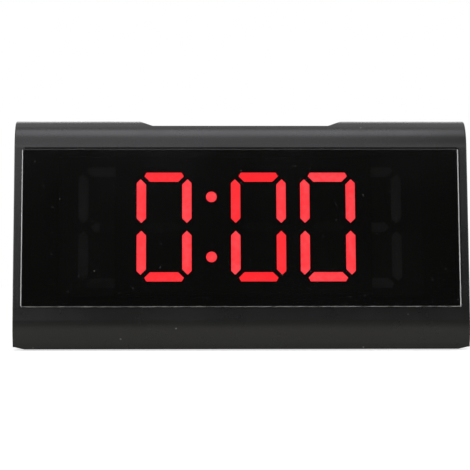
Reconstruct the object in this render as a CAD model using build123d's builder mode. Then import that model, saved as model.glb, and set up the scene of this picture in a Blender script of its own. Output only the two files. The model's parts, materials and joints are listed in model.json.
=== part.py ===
"""A digital LED desk clock: a wedge-shaped case with a rolled top, a tinted lens and a lit display.

Frame: X runs along the clock, +Y to its back and +Z up. The origin is on the table, under the middle
of the case. All sizes are in millimetres.
"""

import os
from math import asin, atan2, cos, hypot, radians, sin, tan

from build123d import *

# Case
case_width = 160.0
case_height = 80.4
case_depth = 48.0
front_tilt = 13.0
top_radius = 12.0
knee_height = 8.12
knee_radius = 12.0
chin_angle = 24.0
rear_radius = 2.5
base_edge_radius = 1.0
end_edge_radius = 0.35
wall = 2.0
front_wall = 3.2
foot_gap = 0.5
end_bevel_height = 0.85
end_bevel_run = 3.3
end_bevel_flat = 0.8

# Scoop in the crest of the case
scoop_depth = 1.6
scoop_share = 0.391
scoop_slope = 19.0
scoop_corner = 2.5
scoop_relief = 0.05

# Lens and its seat
lens_side_margin = 2.75
lens_top_margin = 0.4
lens_low_margin = 4.57
lens_corner = 1.0
lens_thickness = 2.0
lens_proud = 0.3
lens_chamfer = 0.3
lens_gap = 0.15
window_side_lip = 13.25
window_lip = 3.45

# Lit digits, set out as shares of the display block's width
digit_width_share = 0.215
digit_shares = (-0.3016, 0.0681, 0.3399)
colon_share = -0.1162
digit_border = 4.25
digit_stroke = 3.3
digit_bar_gap = 1.4
digit_post_gap = 1.0
digit_middle_gap = 1.4
digit_middle_share = 0.198
colon_height_share = 0.552
colon_diameter = 3.8

# Display block and the mask round it
display_width_share = 0.7031
display_window_gap = 1.2
display_offset = 0.85
display_rise = 0.66
display_lens_gap = 0.5
display_thickness = 7.0
display_flange = 1.5
display_flange_thickness = 1.5
well_taper = 6.0
segment_thickness = 1.8
mask_side_lap = 5.0
mask_lap = 2.5
mask_thickness = 1.6
mask_fit = 0.2
blind_width_share = 0.244
blind_border = 3.3
blind_side_border = 7.0
blind_stroke = 3.5
blind_shift = 0.35
blind_depth = 1.0
stake_lap = 2.5
stake_drop = 7.0
stake_radius = 1.0
stake_head_radius = 1.8
stake_head_height = 0.8
standoff_radius = 2.2

# Boards and what they carry
board_thickness = 1.6
main_board_side_room = 10.0
main_board_room = 4.0
main_board_hole_inset = (5.0, 3.5)
led_size = (1.6, 1.6, 0.6)
chip_size = (10.3, 7.5, 2.3)
chip_inset = (17.0, 11.5)
chip_legs = 14
chip_leg_size = (0.4, 2.4, 0.3)
chip_stand = 0.2
chip_leg_pitch = 0.7
crystal_radius = 1.0
crystal_length = 6.0
crystal_inset = (17.0, 15.5)
capacitor_radius = 3.15
capacitor_height = 7.0
capacitor_inset = (9.0, 13.5)
board_screw_radius = 1.0
board_screw_head_radius = 1.9
board_screw_head_height = 1.2
board_screw_length = 4.0
pilot_fit = 0.05

# Rear cover
cover_thickness = 2.8
cover_gap = 0.2
cover_edge = 0.4
ledge_width = 1.6
ledge_thickness = 1.6
boss_radius = 2.9
boss_side_inset = 5.0
boss_top_inset = 7.25
boss_low_inset = 14.25
boss_depth_in_wall = 1.6
case_screw_radius = 1.3
case_screw_length = 9.0
case_screw_head_radius = 2.5
case_screw_head_height = 1.5
case_screw_sink = 0.4
screw_hole_fit = 0.25
cross_length = 2.6
cross_width = 0.6
cross_depth = 0.7

# Keys, slide switch, buzzer and power inlet, all on one control board
key_names = ("set_button", "up_button", "down_button", "alarm_button")
key_pitch_share = 0.1
key_row_share = 0.613
key_length = 10.0
key_width = 5.0
key_proud = 0.9
key_fit = 0.3
key_flange = 1.2
key_flange_thickness = 1.2
key_edge = 0.4
key_travel = 0.6
plunger_radius = 1.75
plunger_stand = 1.4
plunger_reach = 0.8
plunger_fit = 0.3
switch_size = 6.0
switch_height = 3.4
control_board_rim = 1.0
control_board_bay_gap = 3.5
control_board_above = 5.5
control_boss_radius = 2.4
control_room = 1.4
slider_travel = 2.0
slider_knob_length = 2.4
slider_knob_width = 2.0
slider_proud = 1.6
slider_slot_fit = 0.4
slider_body_length = 8.6
slider_body_width = 5.4
slider_body_wall = 0.6
slider_body_gap = 0.4
slider_shoe_thickness = 2.6
slider_fit = 0.15
jack_side_inset = 18.5
jack_radius = 4.0
jack_base = 9.0
jack_base_height = 3.0
jack_bore_radius = 2.9
jack_floor = 1.2
jack_fit = 0.15
jack_pin_radius = 1.0
jack_pin_recess = 1.0
buzzer_radius = 7.0
buzzer_gap = 0.3
buzzer_port_radius = 1.2
buzzer_port_depth = 1.5
sound_hole_radius = 0.8
sound_ring_radius = 3.6
sound_ring_holes = 6

# Battery bay, door and cells
bay_low_share = 0.232
door_width = 54.0
door_height = 27.0
door_thickness = 2.4
door_gap = 0.3
door_rib_height = 0.4
door_rib_width = 1.0
door_rib_length = 14.0
door_rib_pitch = 2.4
door_ribs = 3
door_corner = 1.5
pintle_radius = 0.7
pintle_length = 1.6
pintle_fit = 0.1
thumb_radius = 7.0
thumb_height = 3.2
thumb_depth = 1.4
bay_wall = 1.5
cell_radius = 5.25
cell_length = 44.5
cell_nub_radius = 1.9
cell_nub_length = 0.8
cell_spacing = 11.0
cell_fit = 0.15
contact_room = 2.3
contact_thickness = 0.4
contact_width = 7.0
contact_height = 8.5
bump_height = 4.0

# Snooze bar in the floor of the scoop
snooze_end_room = 5.0
snooze_width = 6.4
snooze_fit = 0.3
snooze_flange = 1.4
snooze_flange_thickness = 1.2
snooze_edge = 0.35
snooze_travel = 0.6
snooze_drop = 0.05
roof_thickness = 2.0
roof_pad_end = 17.0
snooze_boss_room = 10.0
snooze_board_end = 4.0
snooze_board_width = 9.0

# Feet
foot_radius = 4.0
foot_sink = 0.7
foot_fit = 0.1
foot_side_inset = 18.0
foot_front_inset = 14.0
foot_back_inset = 9.0

# Ribbon between the two boards
ribbon_width = 10.0
ribbon_thickness = 0.6
ribbon_lead = 1.6
ribbon_bend = 1.2
ribbon_start = 15.0
ribbon_drop = 8.0

os.makedirs("parts", exist_ok=True)


def save(piece, name):
    """Labels a finished piece and writes it under its name."""
    piece.part.label = name
    export_step(piece.part, os.path.join("parts", name + ".step"))


def on_circle(centre, radius, angle):
    """A point of the side profile, at an angle in radians from the back of a circle."""
    return (centre[0] + radius * cos(angle), centre[1] + radius * sin(angle))


# Side profile of the case, as points (y, z) where straight runs meet the rounded corners
tilt = radians(front_tilt)
chin = radians(chin_angle)
knee_centre = (knee_radius - case_depth / 2, knee_height)
knee_top = (knee_centre[0] - knee_radius * cos(tilt), knee_centre[1] + knee_radius * sin(tilt))
knee_low = (knee_centre[0] - knee_radius * cos(chin), knee_centre[1] - knee_radius * sin(chin))
base_front = (knee_low[0] + (knee_low[1] - foot_gap) * tan(chin), foot_gap)
top_centre_z = case_height - top_radius
front_run = (top_centre_z + top_radius * sin(tilt) - knee_top[1]) / cos(tilt)
front_end = (knee_top[0] + front_run * sin(tilt), knee_top[1] + front_run * cos(tilt))
top_centre = (front_end[0] + top_radius * cos(tilt), top_centre_z)
rear_centre = (case_depth / 2 - rear_radius, foot_gap + rear_radius)
centres_back = rear_centre[0] - top_centre[0]
centres_up = top_centre[1] - rear_centre[1]
lean = atan2(centres_back, centres_up) - asin((top_radius - rear_radius) / hypot(centres_back, centres_up))
back_end = on_circle(top_centre, top_radius, lean)
back_start = on_circle(rear_centre, rear_radius, lean)
rear_round = on_circle(rear_centre, rear_radius, (lean - radians(90)) / 2)
floor_z = foot_gap + wall

# Lens, window, display and mask, worked inwards from the flat of the front
lens_width = case_width - 2 * lens_side_margin
lens_height = front_run - lens_top_margin - lens_low_margin
lens_middle = knee_top[1] + (lens_low_margin + lens_height / 2) * cos(tilt)
window_width = lens_width - 2 * window_side_lip
window_height = lens_height - 2 * window_lip
display_width = window_width * display_width_share
display_height = window_height - 2 * display_window_gap
digit_width = display_width * digit_width_share
digit_height = display_height - 2 * digit_border
digit_places = [display_width * share for share in digit_shares]
colon_place = display_width * colon_share
colon_spread = digit_height * colon_height_share
blind_digit_width = display_width * blind_width_share
blind_digit_height = window_height - 2 * blind_border
blind_digit_edge = window_width / 2 - blind_side_border
mask_width = window_width + 2 * mask_side_lap
mask_height = window_height + 2 * mask_lap
stake_place = (window_width / 2 + stake_lap, window_height / 2 - stake_drop)
main_board_width = mask_width - 2 * main_board_side_room
main_board_height = mask_height - 2 * main_board_room
standoff_x = main_board_width / 2 - main_board_hole_inset[0]
standoff_y = main_board_height / 2 - main_board_hole_inset[1]
chip_place = (chip_inset[0] - main_board_width / 2, chip_inset[1] - main_board_height / 2)
crystal_place = (crystal_inset[0] - main_board_width / 2, main_board_height / 2 - crystal_inset[1])
capacitor_place = (main_board_width / 2 - capacitor_inset[0], capacitor_inset[1] - main_board_height / 2)

# The front plane has its origin in the middle of the lens, on the case's front face
front_y = knee_top[0] + (lens_middle - knee_top[1]) * tan(tilt)
front_plane = Plane(origin=(0, front_y, lens_middle), x_dir=(1, 0, 0), z_dir=(0, -cos(tilt), sin(tilt)))
front_axis = Axis((0, 0, 0), front_plane.z_dir)

# The sight plane is the same plane, moved up from the middle of the lens to that of the display
sight_point = front_plane.from_local_coords((0, display_rise, 0))
sight_plane = Plane(origin=sight_point, x_dir=(1, 0, 0), z_dir=front_plane.z_dir)

# The back plane has its origin in the middle of the rear cover, on its outer face
cover_top_z = back_end[1]
cover_middle_z = (cover_top_z + floor_z) / 2
back_y = back_end[0] + (cover_top_z - cover_middle_z) * tan(lean)
back_plane = Plane(origin=(0, back_y, cover_middle_z), x_dir=(-1, 0, 0), z_dir=(0, cos(lean), sin(lean)))
back_axis = Axis((0, 0, 0), back_plane.z_dir)

# Places on the back: x along the row of controls, y up the slope of the cover
cavity_width = case_width - 2 * wall
cover_rise = (cover_top_z - cover_middle_z) / cos(lean)
boss_x = cavity_width / 2 - boss_side_inset
boss_rows = (cover_rise - boss_top_inset, boss_low_inset - cover_rise)
boss_places = [(x, y) for x in (-boss_x, boss_x) for y in boss_rows]
key_row = cover_rise * key_row_share
key_pitch = case_width * key_pitch_share
key_places = [(key_pitch * (number - (len(key_names) - 1) / 2), key_row) for number in range(len(key_names))]
key_row_end = key_places[-1][0] + key_length / 2 + key_flange
control_screw_x = key_row_end + control_room + control_boss_radius
control_boss_points = [(-control_screw_x, key_row), (control_screw_x, key_row)]
slider_place = control_screw_x + control_boss_radius + control_room + slider_body_length / 2
jack_place = case_width / 2 - jack_side_inset
buzzer_place = -(control_screw_x + control_boss_radius + control_room + buzzer_radius)
hole_width = door_width + 2 * door_gap
hole_height = door_height + 2 * door_gap
bay_half = hole_height / 2 + bay_wall
bay_middle = bay_half - cover_rise * (1 - bay_low_share)
control_board_low = bay_middle + bay_half + control_board_bay_gap
control_board_high = key_row + control_board_above
control_board_width = 2 * (jack_place + jack_base / 2 + control_board_rim)

# Depths behind the front face
lens_back = lens_thickness - lens_proud
display_face = lens_back + display_lens_gap
display_back = display_face + display_thickness
mask_back = front_wall + mask_thickness
main_board_back = display_back + board_thickness

# Depths in front of the back face
key_flange_front = cover_thickness + key_flange_thickness
switch_back = key_flange_front + plunger_stand
control_board_top = switch_back + switch_height
control_board_front = control_board_top + board_thickness

# Heights under the scoop
scoop_floor = case_height - scoop_depth
roof_z = scoop_floor - roof_thickness
snooze_flange_low = roof_z - snooze_flange_thickness
snooze_switch_top = snooze_flange_low - plunger_stand
snooze_board_top = snooze_switch_top - switch_height
crest_y = top_centre[0]
scoop_length = case_width * scoop_share
snooze_length = scoop_length - 2 * snooze_end_room
roof_pad_length = snooze_length + 2 * roof_pad_end
snooze_boss_place = snooze_length / 2 + snooze_boss_room
snooze_board_length = 2 * (snooze_boss_place + snooze_board_end)

# Places of the feet
foot_x = case_width / 2 - foot_side_inset
foot_rows = (foot_front_inset - case_depth / 2, case_depth / 2 - foot_back_inset)
foot_places = [(x, y) for x in (-foot_x, foot_x) for y in foot_rows]


def case_outline():
    """Draws the closed side profile of the case in the current line block."""
    Line(base_front, knee_low)
    ThreePointArc(knee_low, (-case_depth / 2, knee_height), knee_top)
    Line(knee_top, front_end)
    ThreePointArc(front_end, (top_centre[0], case_height), back_end)
    Line(back_end, back_start)
    ThreePointArc(back_start, rear_round, (rear_centre[0], foot_gap))
    Line((rear_centre[0], foot_gap), base_front)


def segment_outlines(width, height, stroke):
    """The seven strokes of a digit as closed outlines about its middle, named a to g in the usual order."""
    half_w, half_h = width / 2, height / 2
    tip = stroke * 0.4
    reach = half_w - digit_bar_gap
    top = [
        (tip * 1.6 - reach, half_h),
        (reach - tip * 1.6, half_h),
        (reach - tip, half_h - tip),
        (reach - stroke, half_h - stroke),
        (stroke - reach, half_h - stroke),
        (tip - reach, half_h - tip),
    ]
    apex = stroke * 0.42
    shoulder = half_h - digit_post_gap
    upper_left = [
        (-half_w, shoulder - 2 * apex),
        (apex - half_w, shoulder - apex),
        (stroke - half_w, shoulder - stroke),
        (stroke - half_w, digit_middle_gap + stroke / 2),
        (stroke / 2 - half_w, digit_middle_gap),
        (-half_w, digit_middle_gap + stroke / 2),
    ]
    inner = half_w - width * digit_middle_share
    middle = [
        (-inner, 0),
        (stroke / 2 - inner, stroke / 2),
        (inner - stroke / 2, stroke / 2),
        (inner, 0),
        (inner - stroke / 2, -stroke / 2),
        (stroke / 2 - inner, -stroke / 2),
    ]
    return {
        "a": top,
        "b": [(-x, y) for x, y in upper_left],
        "c": [(-x, -y) for x, y in upper_left],
        "d": [(x, -y) for x, y in top],
        "e": [(x, -y) for x, y in upper_left],
        "f": upper_left,
        "g": middle,
    }


def draw_segments(names, width, height, stroke, places):
    """Draws the named strokes of a digit at each place in the current sketch."""
    outlines = segment_outlines(width, height, stroke)
    for place in places:
        for name in names:
            with Locations((place, 0)):
                Polygon(*outlines[name], align=None)


def colon_points():
    """The two places of the colon's dots."""
    return [(colon_place, colon_spread / 2), (colon_place, -colon_spread / 2)]


# Cavity of the case, open at the back. Its roof is lower under the scoop, to leave a wall there.
strip_low = (knee_top[0] - case_depth * sin(tilt), knee_top[1] - case_depth * cos(tilt))
strip_high = (front_end[0] + case_depth * sin(tilt), front_end[1] + case_depth * cos(tilt))
strip_in = (front_wall * cos(tilt), -front_wall * sin(tilt))
with BuildPart() as cavity:
    with BuildSketch(Plane.YZ):
        with BuildLine():
            case_outline()
        make_face()
        offset(amount=-wall)
        Polygon(
            (strip_low[0] - case_depth, strip_low[1]),
            (strip_high[0] - case_depth, strip_high[1]),
            (strip_high[0] + strip_in[0], strip_high[1] + strip_in[1]),
            (strip_low[0] + strip_in[0], strip_low[1] + strip_in[1]),
            align=None,
            mode=Mode.SUBTRACT,
        )
        Polygon(
            top_centre,
            on_circle(top_centre, 2 * top_radius, lean),
            (case_depth, floor_z),
            (top_centre[0], floor_z),
            align=None,
        )
    extrude(amount=cavity_width / 2, both=True)
    with Locations((0, crest_y, roof_z)):
        Box(
            roof_pad_length,
            case_depth,
            case_height,
            align=(Align.CENTER, Align.CENTER, Align.MIN),
            mode=Mode.SUBTRACT,
        )

# Front housing: front, top, bottom and ends in one moulding
slope_run = (scoop_depth + scoop_relief) / tan(radians(scoop_slope))
scoop_rim = case_height + scoop_relief
scoop_half = scoop_length / 2
boss_plane = back_plane.offset(-cover_thickness)
front_inside = sight_plane.offset(-front_wall)
with BuildPart() as front_housing:
    with BuildSketch(Plane.YZ) as case_profile:
        with BuildLine():
            case_outline()
        make_face()
        fillet(case_profile.vertices().sort_by_distance(Vector(*base_front))[0], base_edge_radius)
    extrude(amount=case_width / 2, both=True)
    fillet(front_housing.faces().filter_by(Axis.X).edges(), end_edge_radius)

    with BuildSketch(Plane.XZ) as scoop_profile:
        with BuildLine():
            Polyline(
                (-case_width, scoop_rim),
                (-scoop_half - slope_run, scoop_rim),
                (-scoop_half, scoop_floor),
                (scoop_half, scoop_floor),
                (scoop_half + slope_run, scoop_rim),
                (case_width, scoop_rim),
                (case_width, scoop_rim + scoop_depth),
                (-case_width, scoop_rim + scoop_depth),
                close=True,
            )
        make_face()
        scoop_corners = [v for v in scoop_profile.vertices() if abs(v.X) < case_width / 2]
        fillet(scoop_corners, scoop_corner)
    extrude(amount=case_depth, both=True, mode=Mode.SUBTRACT)

    with BuildSketch(Plane.XZ):
        for side in (-1, 1):
            Polygon(
                (side * (case_width / 2 - end_bevel_flat - end_bevel_run), foot_gap),
                (side * (case_width / 2 - end_bevel_flat), foot_gap + end_bevel_height),
                (side * case_width, foot_gap + end_bevel_height),
                (side * case_width, -foot_gap),
                (side * (case_width / 2 - end_bevel_flat - end_bevel_run), -foot_gap),
                align=None,
            )
    extrude(amount=case_depth, both=True, mode=Mode.SUBTRACT)
    add(cavity.part, mode=Mode.SUBTRACT)

    for boss_x, boss_y in boss_places:
        boss_foot = boss_plane.from_local_coords((boss_x, boss_y, 0))
        boss_depth = -front_plane.to_local_coords(boss_foot).Z
        with BuildSketch(boss_plane):
            with Locations((boss_x, boss_y)):
                Circle(boss_radius)
        extrude(amount=-(boss_depth - boss_depth_in_wall) / cos(tilt + lean))

    with BuildSketch(boss_plane):
        ledge_height = (cover_top_z - floor_z) / cos(lean) - 2 * ledge_width
        for side in (-1, 1):
            with Locations((side * (cavity_width - ledge_width) / 2, 0)):
                Rectangle(ledge_width, ledge_height)
    extrude(amount=-ledge_thickness)

    with BuildSketch(Plane.XY.offset(roof_z)):
        with Locations((-snooze_boss_place, crest_y), (snooze_boss_place, crest_y)):
            Circle(standoff_radius)
    extrude(amount=snooze_board_top - roof_z)

    with BuildSketch(front_plane):
        RectangleRounded(lens_width + 2 * lens_gap, lens_height + 2 * lens_gap, lens_corner + lens_gap)
    extrude(amount=-lens_back, mode=Mode.SUBTRACT)
    with BuildSketch(sight_plane):
        Rectangle(window_width, window_height)
    extrude(amount=-front_wall, mode=Mode.SUBTRACT)

    with BuildSketch(front_inside):
        with GridLocations(2 * stake_place[0], 2 * stake_place[1], 2, 2):
            Circle(stake_radius)
    extrude(amount=-mask_thickness)
    with BuildSketch(front_inside.offset(-mask_thickness)):
        with GridLocations(2 * stake_place[0], 2 * stake_place[1], 2, 2):
            Circle(stake_head_radius)
    extrude(amount=-stake_head_height)

    with BuildSketch(boss_plane):
        with Locations(*boss_places):
            Circle(case_screw_radius + pilot_fit)
    extrude(amount=-case_screw_length, mode=Mode.SUBTRACT)
    with BuildSketch(Plane.XY.offset(snooze_board_top)):
        with Locations((-snooze_boss_place, crest_y), (snooze_boss_place, crest_y)):
            Circle(board_screw_radius + pilot_fit)
    extrude(amount=board_screw_length - board_thickness, mode=Mode.SUBTRACT)
    with BuildSketch(Plane.XY.offset(roof_z)):
        with Locations((0, crest_y)):
            SlotOverall(snooze_length + 2 * snooze_fit, snooze_width + 2 * snooze_fit)
    extrude(amount=roof_thickness + scoop_depth, mode=Mode.SUBTRACT)
    with BuildSketch(Plane.XY.offset(foot_gap)):
        with Locations(*foot_places):
            Circle(foot_radius + foot_fit)
    extrude(amount=foot_sink, mode=Mode.SUBTRACT)
save(front_housing, "front_housing")

# Lens: a tinted sheet with a polished chamfer round its front edge
with BuildPart() as lens:
    with BuildSketch(front_plane.offset(-lens_back)):
        RectangleRounded(lens_width, lens_height, lens_corner)
    extrude(amount=lens_thickness)
    chamfer(lens.faces().sort_by(front_axis)[-1].edges(), lens_chamfer)
save(lens, "lens")

# Mask behind the window, with the blind recesses of a wider display beside the block in its middle
digit_strokes = "abcdefg"
lit_strokes = "abcdef"
blind_offset = blind_digit_edge - blind_digit_width / 2
blind_places = (-blind_offset - blind_shift, blind_offset - blind_shift)
mask_hole = (display_width + 2 * mask_fit, display_height + 2 * mask_fit)
standoff_grid = (2 * standoff_x, 2 * standoff_y)
with BuildPart() as display_mask:
    with BuildSketch(front_inside):
        Rectangle(mask_width, mask_height)
        with Locations((display_offset, 0)):
            Rectangle(*mask_hole, mode=Mode.SUBTRACT)
        with GridLocations(2 * stake_place[0], 2 * stake_place[1], 2, 2):
            Circle(stake_radius, mode=Mode.SUBTRACT)
    extrude(amount=-mask_thickness)
    with BuildSketch(front_inside):
        draw_segments(digit_strokes, blind_digit_width, blind_digit_height, blind_stroke, blind_places)
        with Locations((display_offset, 0)):
            Rectangle(*mask_hole, mode=Mode.SUBTRACT)
    extrude(amount=-blind_depth, mode=Mode.SUBTRACT)
    with BuildSketch(sight_plane.offset(-mask_back)):
        with GridLocations(*standoff_grid, 2, 2):
            Circle(standoff_radius)
    extrude(amount=mask_back - display_back)
    with BuildSketch(sight_plane.offset(-display_back)):
        with GridLocations(*standoff_grid, 2, 2):
            Circle(board_screw_radius + pilot_fit)
    extrude(amount=board_screw_length - board_thickness, mode=Mode.SUBTRACT)
save(display_mask, "display_mask")

# Unlit strokes that fill the blind recesses
with BuildPart() as unlit_segments:
    with BuildSketch(front_inside):
        draw_segments(digit_strokes, blind_digit_width, blind_digit_height, blind_stroke, blind_places)
        with Locations((display_offset, 0)):
            Rectangle(*mask_hole, mode=Mode.SUBTRACT)
    extrude(amount=-blind_depth)
save(unlit_segments, "unlit_segments")

# Display block: a tapered light well behind every stroke, and a flange that bears on the mask
display_plane = sight_plane.offset(-display_face)
well_plane = sight_plane.offset(-display_face - segment_thickness)
colon_radius = colon_diameter / 2
with BuildPart() as display_housing:
    with BuildSketch(display_plane):
        with Locations((display_offset, 0)):
            Rectangle(display_width, display_height)
    extrude(amount=-display_thickness)
    with BuildSketch(sight_plane.offset(-mask_back)):
        with Locations((display_offset, 0)):
            Rectangle(display_width + 2 * display_flange, display_height + 2 * display_flange)
    extrude(amount=-display_flange_thickness)
    with BuildSketch(display_plane):
        draw_segments(digit_strokes, digit_width, digit_height, digit_stroke, digit_places)
        with Locations(*colon_points()):
            Circle(colon_radius)
    extrude(amount=-segment_thickness, mode=Mode.SUBTRACT)
    with BuildSketch(well_plane):
        draw_segments(digit_strokes, digit_width, digit_height, digit_stroke, digit_places)
        with Locations(*colon_points()):
            Circle(colon_radius)
    extrude(amount=segment_thickness - display_thickness, taper=well_taper, mode=Mode.SUBTRACT)
save(display_housing, "display_housing")

# Diffusers of the strokes that light, of the middle strokes that stay dark, and of the colon
with BuildPart() as lit_segments:
    with BuildSketch(display_plane):
        draw_segments(lit_strokes, digit_width, digit_height, digit_stroke, digit_places)
    extrude(amount=-segment_thickness)
save(lit_segments, "lit_segments")

with BuildPart() as dark_segments:
    with BuildSketch(display_plane):
        draw_segments("g", digit_width, digit_height, digit_stroke, digit_places)
    extrude(amount=-segment_thickness)
save(dark_segments, "dark_segments")

with BuildPart() as colon_dots:
    with BuildSketch(display_plane):
        with Locations(*colon_points()):
            Circle(colon_radius)
    extrude(amount=-segment_thickness)
save(colon_dots, "colon_dots")

# Main board behind the display, with one light at the foot of every well
main_board_plane = sight_plane.offset(-display_back)
main_board_rear = sight_plane.offset(-main_board_back)
outlines = segment_outlines(digit_width, digit_height, digit_stroke)
led_points = colon_points()
for digit_place in digit_places:
    for outline in outlines.values():
        stroke_x = sum(x for x, y in outline) / len(outline)
        stroke_y = sum(y for x, y in outline) / len(outline)
        led_points.append((digit_place + stroke_x, stroke_y))

with BuildPart() as main_board:
    with BuildSketch(main_board_plane):
        Rectangle(main_board_width, main_board_height)
        with GridLocations(*standoff_grid, 2, 2):
            Circle(board_screw_radius + pilot_fit, mode=Mode.SUBTRACT)
    extrude(amount=-board_thickness)
save(main_board, "main_board")

with BuildPart() as led_chips:
    with BuildSketch(main_board_plane):
        with Locations(*led_points):
            Rectangle(led_size[0], led_size[1])
    extrude(amount=led_size[2])
save(led_chips, "led_chips")

with BuildPart() as driver_chip:
    with BuildSketch(main_board_rear.offset(-chip_stand)):
        with Locations(chip_place):
            Rectangle(chip_size[0], chip_size[1])
    extrude(amount=-chip_size[2])
    with BuildSketch(main_board_rear):
        with Locations(chip_place):
            with GridLocations(chip_leg_pitch, chip_size[1], chip_legs, 2):
                Rectangle(chip_leg_size[0], chip_leg_size[1])
    extrude(amount=-chip_leg_size[2])
save(driver_chip, "driver_chip")

crystal_plane = Plane(
    origin=main_board_rear.from_local_coords((crystal_place[0], crystal_place[1], -crystal_radius)),
    x_dir=(1, 0, 0),
    z_dir=main_board_rear.y_dir,
)
with BuildPart() as crystal_can:
    with BuildSketch(crystal_plane):
        Circle(crystal_radius)
    extrude(amount=crystal_length)
save(crystal_can, "crystal_can")

with BuildPart() as capacitor:
    with BuildSketch(main_board_rear):
        with Locations(capacitor_place):
            Circle(capacitor_radius)
    extrude(amount=-capacitor_height)
    chamfer(capacitor.faces().sort_by(front_axis)[0].edges(), capacitor_radius / 8)
save(capacitor, "capacitor")


def screw_set(plane, places, shank_radius, length, head_radius, head_height):
    """Cross-head screws whose heads stand on a plane and whose shanks go down through it."""
    with BuildPart() as screws:
        with BuildSketch(plane):
            with Locations(*places):
                Circle(head_radius)
        extrude(amount=head_height)
        with BuildSketch(plane):
            with Locations(*places):
                Circle(shank_radius)
        extrude(amount=-length)
        with BuildSketch(plane.offset(head_height)):
            with Locations(*places):
                Rectangle(cross_length, cross_width)
                Rectangle(cross_width, cross_length)
        extrude(amount=-cross_depth, mode=Mode.SUBTRACT)
    return screws


rear_facing = Plane(origin=main_board_rear.origin, x_dir=(-1, 0, 0), z_dir=-main_board_rear.z_dir)
board_screws = screw_set(
    rear_facing,
    [(x, y) for x in (-standoff_x, standoff_x) for y in (-standoff_y, standoff_y)],
    board_screw_radius,
    board_screw_length,
    board_screw_head_radius,
    board_screw_head_height,
)
save(board_screws, "board_screws")

# Rear cover: a flat plate with the battery bay moulded into it
cover_high = cover_rise - cover_gap
cover_low = cover_gap + cover_thickness * tan(lean) - cover_rise
cover_inside = back_plane.offset(-cover_thickness)
bay_depth = 2 * (cell_radius + cell_fit) + cell_fit
bay_length = cell_length + 2 * contact_room
bay_height = cell_spacing + 2 * (cell_radius + cell_fit)
hinge_y = bay_middle - door_height / 2 + door_thickness / 2
hinge_depth = door_thickness / 2
slot_length = slider_knob_length + slider_travel + 2 * slider_slot_fit
slot_width = slider_knob_width + 2 * slider_slot_fit
counterbore = case_screw_sink + case_screw_head_height
hinge_plane = Plane(
    origin=back_plane.from_local_coords((0, hinge_y, -hinge_depth)),
    x_dir=back_plane.y_dir,
    z_dir=(1, 0, 0),
)
with BuildPart() as rear_cover:
    with BuildSketch(back_plane):
        with Locations((0, (cover_high + cover_low) / 2)):
            Rectangle(cavity_width - 2 * cover_gap, cover_high - cover_low)
    extrude(amount=-cover_thickness)
    chamfer(rear_cover.faces().sort_by(back_axis)[-1].edges(), cover_edge)
    with BuildSketch(cover_inside):
        with Locations((0, bay_middle)):
            Rectangle(hole_width + 2 * bay_wall, hole_height + 2 * bay_wall)
    extrude(amount=-bay_depth - bay_wall)
    with BuildSketch(cover_inside):
        with Locations(*control_boss_points):
            Circle(control_boss_radius)
    extrude(amount=cover_thickness - control_board_top)

    with BuildSketch(back_plane):
        with Locations((0, bay_middle)):
            Rectangle(hole_width, hole_height)
    extrude(amount=-cover_thickness, mode=Mode.SUBTRACT)
    with BuildSketch(cover_inside):
        with Locations((0, bay_middle)):
            Rectangle(bay_length, bay_height)
    extrude(amount=-bay_depth, mode=Mode.SUBTRACT)
    with BuildSketch(back_plane):
        with Locations((0, bay_middle + door_height / 2)):
            Ellipse(thumb_radius, thumb_height)
    extrude(amount=-thumb_depth, mode=Mode.SUBTRACT)
    with BuildSketch(hinge_plane):
        Circle(pintle_radius + pintle_fit)
    extrude(amount=door_width / 2 + pintle_length + pintle_fit, both=True, mode=Mode.SUBTRACT)

    with BuildSketch(back_plane):
        with Locations(*key_places):
            SlotOverall(key_length + 2 * key_fit, key_width + 2 * key_fit)
        with Locations((slider_place, key_row)):
            Rectangle(slot_length, slot_width)
        with Locations((jack_place, key_row)):
            Circle(jack_radius + jack_fit)
        with Locations((buzzer_place, key_row)):
            Circle(sound_hole_radius)
            with PolarLocations(sound_ring_radius, sound_ring_holes):
                Circle(sound_hole_radius)
        with Locations(*boss_places):
            Circle(case_screw_radius + screw_hole_fit)
    extrude(amount=-cover_thickness, mode=Mode.SUBTRACT)
    with BuildSketch(back_plane):
        with Locations(*boss_places):
            Circle(case_screw_head_radius + screw_hole_fit)
    extrude(amount=-counterbore, mode=Mode.SUBTRACT)
    with BuildSketch(back_plane.offset(-control_board_top)):
        with Locations(*control_boss_points):
            Circle(board_screw_radius + pilot_fit)
    extrude(amount=board_screw_length - board_thickness, mode=Mode.SUBTRACT)
save(rear_cover, "rear_cover")

case_screws = screw_set(
    back_plane.offset(-counterbore),
    boss_places,
    case_screw_radius,
    case_screw_length,
    case_screw_head_radius,
    case_screw_head_height,
)
save(case_screws, "case_screws")

# Battery door: hinged on two pintles along its rounded lower edge
door_flat_height = door_height - door_thickness / 2
rib_top = bay_middle + door_height / 2 - thumb_height - door_rib_pitch
with BuildPart() as battery_door:
    with BuildSketch(back_plane):
        with Locations((0, hinge_y)):
            Rectangle(door_width, door_flat_height, align=(Align.CENTER, Align.MIN))
    extrude(amount=-door_thickness)
    with BuildSketch(hinge_plane):
        Circle(door_thickness / 2)
    extrude(amount=door_width / 2, both=True)
    with BuildSketch(hinge_plane):
        Circle(pintle_radius)
    extrude(amount=door_width / 2 + pintle_length, both=True)
    with BuildSketch(back_plane):
        for number in range(door_ribs):
            with Locations((0, rib_top - number * door_rib_pitch)):
                SlotOverall(door_rib_length, door_rib_width)
    extrude(amount=door_rib_height)
save(battery_door, "battery_door")

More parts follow.
